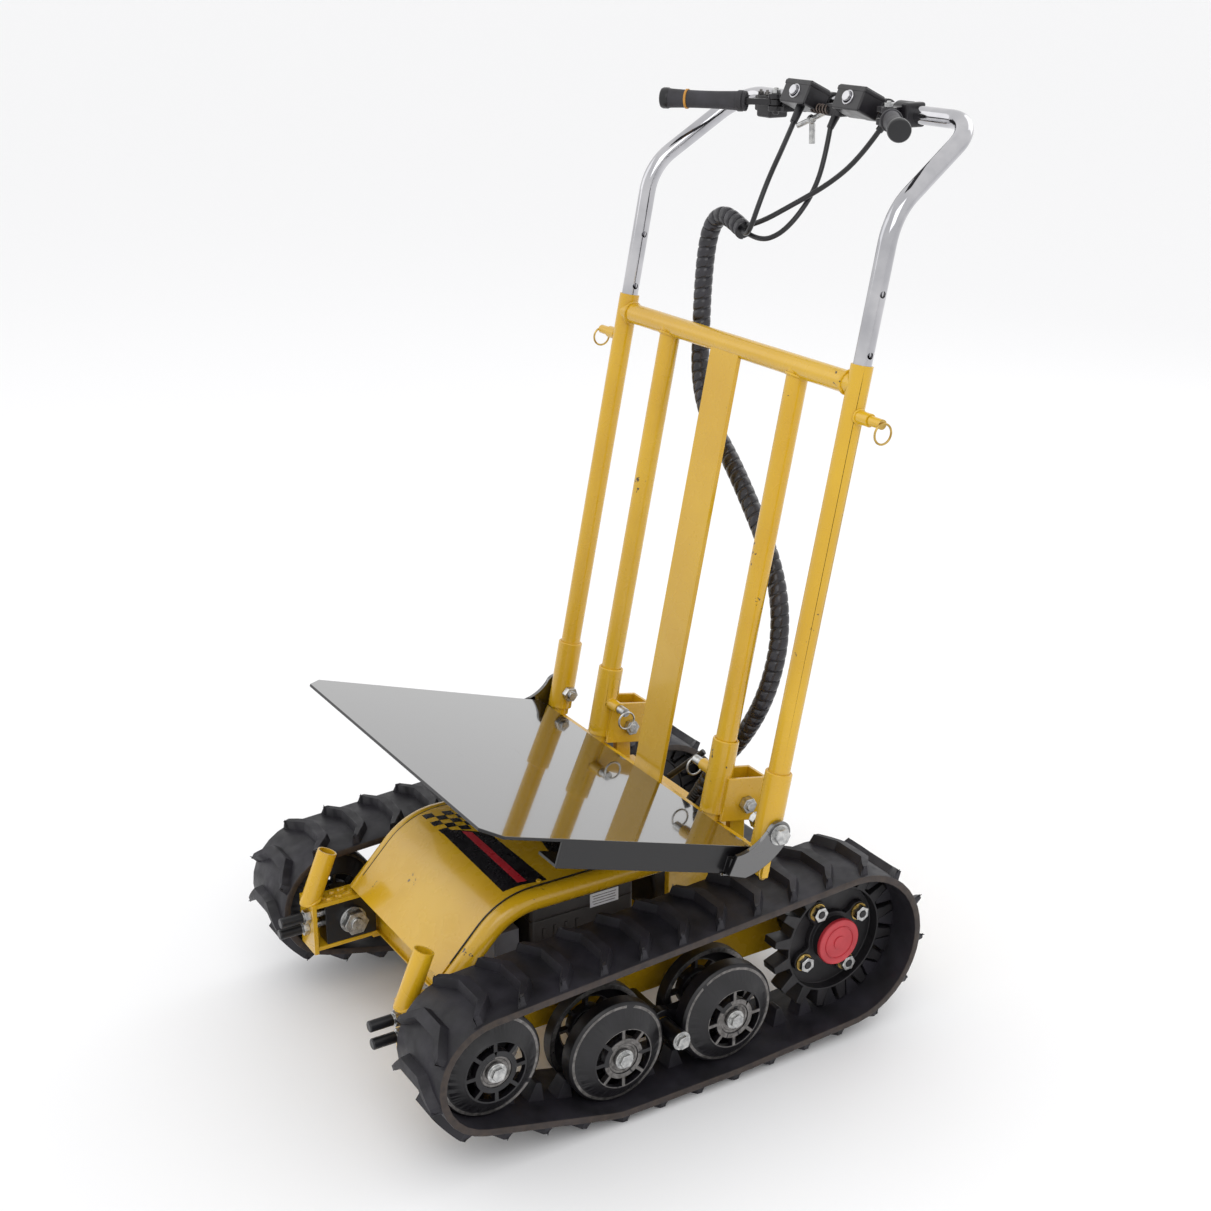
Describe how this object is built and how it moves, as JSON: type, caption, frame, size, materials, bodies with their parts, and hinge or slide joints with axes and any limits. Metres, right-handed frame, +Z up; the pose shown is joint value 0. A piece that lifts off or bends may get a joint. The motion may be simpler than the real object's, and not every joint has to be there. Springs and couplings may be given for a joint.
{
  "type": "powered tracked hand truck",
  "caption": "Rubber-tracked powered cart with a yellow tube back frame, a black folding load plate, a chrome telescoping handle and hand levers.",
  "frame": {"origin": "on the ground, midway between the tracks and midway between the tension screw caps and the handle bar's rear", "axes": "+Z up, front (load plate side) at -Y, operator at +Y, left at +X"},
  "size_m": [0.614, 0.785, 1.1809],
  "materials": {
    "yellow_paint": "gloss",
    "black_paint": "gloss",
    "track_rubber": "matte",
    "wheel_plastic": "satin",
    "zinc_steel": "satin",
    "screw_steel": "satin",
    "yellow_zinc": "satin",
    "chrome": "polished",
    "red_cap": "satin",
    "case_plastic": "matte",
    "drive_casting": "painted",
    "control_plastic": "satin",
    "grip_rubber": "matte",
    "button_metal": "polished",
    "cord_cover": "satin",
    "cable_cover": "satin"
  },
  "bodies": {
    "chassis": {"chassis_frame": "yellow_paint", "hood_panel": "yellow_paint", "hood_rails": "yellow_paint", "battery_case": "case_plastic", "motor_controller": "case_plastic", "gearbox": "drive_casting", "drive_motor": "drive_casting", "frame_bolts": "zinc_steel", "tension_bracket_left": "yellow_paint", "tension_bracket_right": "yellow_paint", "track_left": "track_rubber", "track_right": "track_rubber"},
    "drive_left": {"sprocket_left": "black_paint", "drive_hub_left": "black_paint", "hub_cap_left": "red_cap", "lug_nuts_left": "zinc_steel"},
    "tensioner_left": {"idler_carrier_left": "black_paint", "idler_spindle_left": "zinc_steel", "tension_screws_left": "screw_steel"},
    "idler_left": {"idler_wheel_left": "wheel_plastic"},
    "bogie_left": {"bogie_beam_left": "black_paint", "bogie_bolts_left": "zinc_steel"},
    "front_roller_left": {"road_wheel_front_left": "wheel_plastic"},
    "rear_roller_left": {"road_wheel_rear_left": "wheel_plastic"},
    "drive_right": {"sprocket_right": "black_paint", "drive_hub_right": "black_paint", "hub_cap_right": "red_cap", "lug_nuts_right": "zinc_steel"},
    "tensioner_right": {"idler_carrier_right": "black_paint", "idler_spindle_right": "zinc_steel", "tension_screws_right": "screw_steel"},
    "idler_right": {"idler_wheel_right": "wheel_plastic"},
    "bogie_right": {"bogie_beam_right": "black_paint", "bogie_bolts_right": "zinc_steel"},
    "front_roller_right": {"road_wheel_front_right": "wheel_plastic"},
    "rear_roller_right": {"road_wheel_rear_right": "wheel_plastic"},
    "back_frame": {"outer_uprights": "yellow_paint", "inner_uprights": "yellow_paint", "crossbar": "yellow_paint", "centre_bar": "yellow_paint", "hinge_brackets": "yellow_paint", "plate_bolts": "zinc_steel", "harness": "cord_cover"},
    "handle": {"handle_bar": "chrome", "control_boxes": "control_plastic", "lever_perches": "control_plastic", "cable_left": "cable_cover", "cable_right": "cable_cover", "switch_lead": "cable_cover"},
    "plate": {"load_plate": "black_paint"},
    "lever_left": {"hand_lever_left": "control_plastic", "lever_grip_left": "grip_rubber"},
    "button_left": {"push_button_left": "button_metal"},
    "upper_pin_left": {"handle_pin_left": "yellow_zinc"},
    "lower_pin_left": {"tube_pin_left": "yellow_zinc"},
    "lever_right": {"hand_lever_right": "control_plastic", "lever_grip_right": "grip_rubber"},
    "button_right": {"push_button_right": "button_metal"},
    "upper_pin_right": {"handle_pin_right": "yellow_zinc"},
    "lower_pin_right": {"tube_pin_right": "yellow_zinc"}
  },
  "joints": [
    {"name": "drive_left_spin", "type": "hinge", "parent": "chassis", "child": "drive_left", "pos_m": [0.229, 0.2183, 0.13], "axis": [1, 0, 0], "continuous": true, "deforming": ["track_left"]},
    {"name": "tensioner_left_slide", "type": "slide", "parent": "chassis", "child": "tensioner_left", "axis": [0, -1, 0], "range_m": [0, 0.01], "deforming": ["track_left"]},
    {"name": "idler_left_spin", "type": "hinge", "parent": "tensioner_left", "child": "idler_left", "pos_m": [0.229, -0.2965, 0.1323], "axis": [1, 0, 0], "continuous": true},
    {"name": "bogie_left_rock", "type": "hinge", "parent": "chassis", "child": "bogie_left", "pos_m": [0.229, -0.042, 0.086], "axis": [1, 0, 0], "range_deg": [-3, 3], "deforming": ["track_left"]},
    {"name": "front_roller_left_spin", "type": "hinge", "parent": "bogie_left", "child": "front_roller_left", "pos_m": [0.229, -0.1244, 0.089], "axis": [1, 0, 0], "continuous": true},
    {"name": "rear_roller_left_spin", "type": "hinge", "parent": "bogie_left", "child": "rear_roller_left", "pos_m": [0.229, 0.038, 0.089], "axis": [1, 0, 0], "continuous": true},
    {"name": "drive_right_spin", "type": "hinge", "parent": "chassis", "child": "drive_right", "pos_m": [-0.229, 0.2183, 0.13], "axis": [1, 0, 0], "continuous": true, "deforming": ["track_right"]},
    {"name": "tensioner_right_slide", "type": "slide", "parent": "chassis", "child": "tensioner_right", "axis": [0, -1, 0], "range_m": [0, 0.01], "deforming": ["track_right"]},
    {"name": "idler_right_spin", "type": "hinge", "parent": "tensioner_right", "child": "idler_right", "pos_m": [-0.229, -0.2965, 0.1323], "axis": [1, 0, 0], "continuous": true},
    {"name": "bogie_right_rock", "type": "hinge", "parent": "chassis", "child": "bogie_right", "pos_m": [-0.229, -0.042, 0.086], "axis": [1, 0, 0], "range_deg": [-3, 3], "deforming": ["track_right"]},
    {"name": "front_roller_right_spin", "type": "hinge", "parent": "bogie_right", "child": "front_roller_right", "pos_m": [-0.229, -0.1244, 0.089], "axis": [1, 0, 0], "continuous": true},
    {"name": "rear_roller_right_spin", "type": "hinge", "parent": "bogie_right", "child": "rear_roller_right", "pos_m": [-0.229, 0.038, 0.089], "axis": [1, 0, 0], "continuous": true},
    {"name": "back_frame_tilt", "type": "hinge", "parent": "chassis", "child": "back_frame", "pos_m": [0, 0.12994, 0.31357], "axis": [1, 0, 0], "range_deg": [-13, 11], "deforming": ["harness"]},
    {"name": "handle_slide", "type": "slide", "parent": "back_frame", "child": "handle", "axis": [0, 0.1937, 0.9811], "range_m": [-0.14, 0], "deforming": ["harness", "cable_left", "cable_right", "switch_lead", "handle_pin_left", "handle_pin_right"]},
    {"name": "plate_fold", "type": "hinge", "parent": "back_frame", "child": "plate", "pos_m": [0, 0.09855, 0.32802], "axis": [1, 0, 0], "range_deg": [-83, 0]},
    {"name": "lever_left_squeeze", "type": "hinge", "parent": "handle", "child": "lever_left", "pos_m": [0.112, 0.344, 1.148], "axis": [0, 0, 1], "range_deg": [0, 20], "stiffness_Nm_per_rad": 3, "springref_deg": -5.73},
    {"name": "button_left_press", "type": "slide", "parent": "handle", "child": "button_left", "axis": [0, 0.9063, -0.4226], "range_m": [0, 0.003], "stiffness_N_per_m": 300, "springref_m": -0.002},
    {"name": "upper_pin_left_pull", "type": "slide", "parent": "back_frame", "child": "upper_pin_left", "axis": [1, 0, 0], "range_m": [0, 0.008], "stiffness_N_per_m": 600, "springref_m": -0.006},
    {"name": "lower_pin_left_pull", "type": "slide", "parent": "back_frame", "child": "lower_pin_left", "axis": [-1, 0, 0], "range_m": [0, 0.008], "stiffness_N_per_m": 600, "springref_m": -0.006},
    {"name": "lever_right_squeeze", "type": "hinge", "parent": "handle", "child": "lever_right", "pos_m": [-0.112, 0.344, 1.148], "axis": [0, 0, -1], "range_deg": [0, 20], "stiffness_Nm_per_rad": 3, "springref_deg": -5.73},
    {"name": "button_right_press", "type": "slide", "parent": "handle", "child": "button_right", "axis": [0, 0.9063, -0.4226], "range_m": [0, 0.003], "stiffness_N_per_m": 300, "springref_m": -0.002},
    {"name": "upper_pin_right_pull", "type": "slide", "parent": "back_frame", "child": "upper_pin_right", "axis": [-1, 0, 0], "range_m": [0, 0.008], "stiffness_N_per_m": 600, "springref_m": -0.006},
    {"name": "lower_pin_right_pull", "type": "slide", "parent": "back_frame", "child": "lower_pin_right", "axis": [1, 0, 0], "range_m": [0, 0.008], "stiffness_N_per_m": 600, "springref_m": -0.006}
  ],
  "couplings": [
    {"joint": "idler_left_spin", "follows": "drive_left_spin", "ratio": 1.4426},
    {"joint": "front_roller_left_spin", "follows": "drive_left_spin", "ratio": 1.5429},
    {"joint": "rear_roller_left_spin", "follows": "drive_left_spin", "ratio": 1.5429},
    {"joint": "idler_right_spin", "follows": "drive_right_spin", "ratio": 1.4426},
    {"joint": "front_roller_right_spin", "follows": "drive_right_spin", "ratio": 1.5429},
    {"joint": "rear_roller_right_spin", "follows": "drive_right_spin", "ratio": 1.5429}
  ]
}
